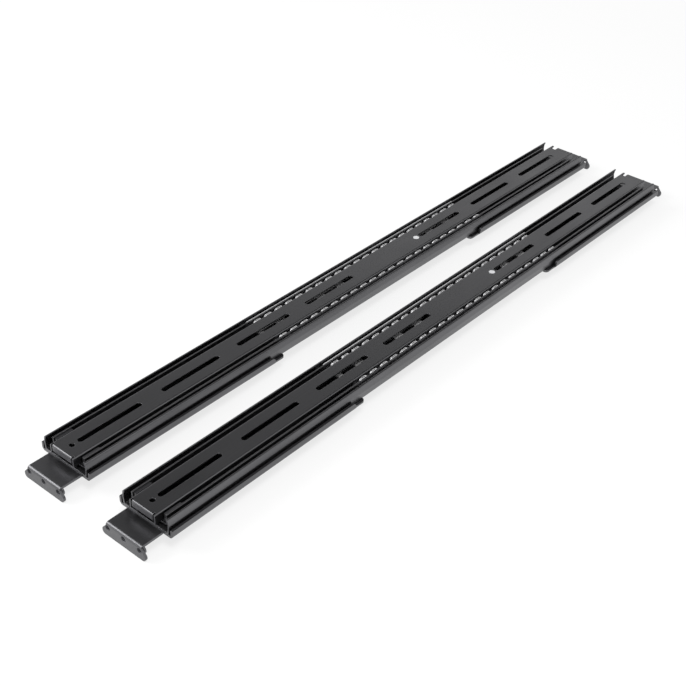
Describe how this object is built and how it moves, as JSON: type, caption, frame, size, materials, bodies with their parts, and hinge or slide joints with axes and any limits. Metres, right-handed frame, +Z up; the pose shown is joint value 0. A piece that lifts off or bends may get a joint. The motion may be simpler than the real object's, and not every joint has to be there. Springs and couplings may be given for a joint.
{
  "type": "server rack slide rail pair",
  "caption": "Pair of telescoping server slide rails: ball-bearing channels on sheet-metal brackets with threaded flanges for rack posts and a rear bracket that slides to suit rack depth.",
  "frame": {"origin": "middle of the pair, on the level of the flanges' lower edges", "axes": "+X runs from the front flanges to the rear flanges, +Y across the pair to the left rail seen from the front, +Z up, out of the slides' open faces"},
  "size_m": [0.694, 0.1372, 0.0243],
  "materials": {
    "rolled_steel": "black plated, semi-gloss, faint length-wise grain",
    "bracket_steel": "black plated sheet, semi-gloss",
    "polished_steel": "mirror bright",
    "cage_steel": "bright rolled strip",
    "black_plastic": "fine matte",
    "stud_steel": "bright zinc"
  },
  "bodies": {
    "fixed_rails": {"left_outer_rail": "rolled_steel", "left_front_bracket": "bracket_steel", "left_front_studs": "stud_steel", "left_rear_studs": "stud_steel", "right_outer_rail": "rolled_steel", "right_front_bracket": "bracket_steel", "right_front_studs": "stud_steel", "right_rear_studs": "stud_steel"},
    "left_rear_bracket_slide": {"left_rear_bracket": "bracket_steel"},
    "left_outer_ball_row": {"left_outer_ball_cage": "cage_steel", "left_outer_balls": "polished_steel"},
    "left_middle_section": {"left_middle_rail": "rolled_steel", "left_front_guide": "black_plastic", "left_rear_bumper": "black_plastic"},
    "left_inner_ball_row": {"left_inner_ball_cage": "cage_steel", "left_inner_balls": "polished_steel"},
    "left_inner_section": {"left_inner_rail": "rolled_steel", "left_stop_rivet": "polished_steel"},
    "right_rear_bracket_slide": {"right_rear_bracket": "bracket_steel"},
    "right_outer_ball_row": {"right_outer_ball_cage": "cage_steel", "right_outer_balls": "polished_steel"},
    "right_middle_section": {"right_middle_rail": "rolled_steel", "right_front_guide": "black_plastic", "right_rear_bumper": "black_plastic"},
    "right_inner_ball_row": {"right_inner_ball_cage": "cage_steel", "right_inner_balls": "polished_steel"},
    "right_inner_section": {"right_inner_rail": "rolled_steel", "right_stop_rivet": "polished_steel"}
  },
  "joints": [
    {"name": "left_rear_bracket_travel", "type": "slide", "parent": "fixed_rails", "child": "left_rear_bracket_slide", "axis": [1, 0, 0], "range_m": [0, 0.08]},
    {"name": "left_middle_travel", "type": "slide", "parent": "fixed_rails", "child": "left_middle_section", "axis": [-1, 0, 0], "range_m": [0, 0.325]},
    {"name": "left_outer_ball_travel", "type": "slide", "parent": "fixed_rails", "child": "left_outer_ball_row", "axis": [-1, 0, 0], "range_m": [0, 0.1625]},
    {"name": "left_inner_travel", "type": "slide", "parent": "left_middle_section", "child": "left_inner_section", "axis": [-1, 0, 0], "range_m": [0, 0.325]},
    {"name": "left_inner_ball_travel", "type": "slide", "parent": "left_middle_section", "child": "left_inner_ball_row", "axis": [-1, 0, 0], "range_m": [0, 0.1625]},
    {"name": "right_rear_bracket_travel", "type": "slide", "parent": "fixed_rails", "child": "right_rear_bracket_slide", "axis": [1, 0, 0], "range_m": [0, 0.08]},
    {"name": "right_middle_travel", "type": "slide", "parent": "fixed_rails", "child": "right_middle_section", "axis": [-1, 0, 0], "range_m": [0, 0.325]},
    {"name": "right_outer_ball_travel", "type": "slide", "parent": "fixed_rails", "child": "right_outer_ball_row", "axis": [-1, 0, 0], "range_m": [0, 0.1625]},
    {"name": "right_inner_travel", "type": "slide", "parent": "right_middle_section", "child": "right_inner_section", "axis": [-1, 0, 0], "range_m": [0, 0.325]},
    {"name": "right_inner_ball_travel", "type": "slide", "parent": "right_middle_section", "child": "right_inner_ball_row", "axis": [-1, 0, 0], "range_m": [0, 0.1625]}
  ],
  "couplings": [
    {"joint": "left_outer_ball_travel", "follows": "left_middle_travel", "ratio": 0.5},
    {"joint": "left_inner_ball_travel", "follows": "left_inner_travel", "ratio": 0.5},
    {"joint": "right_outer_ball_travel", "follows": "right_middle_travel", "ratio": 0.5},
    {"joint": "right_inner_ball_travel", "follows": "right_inner_travel", "ratio": 0.5}
  ]
}
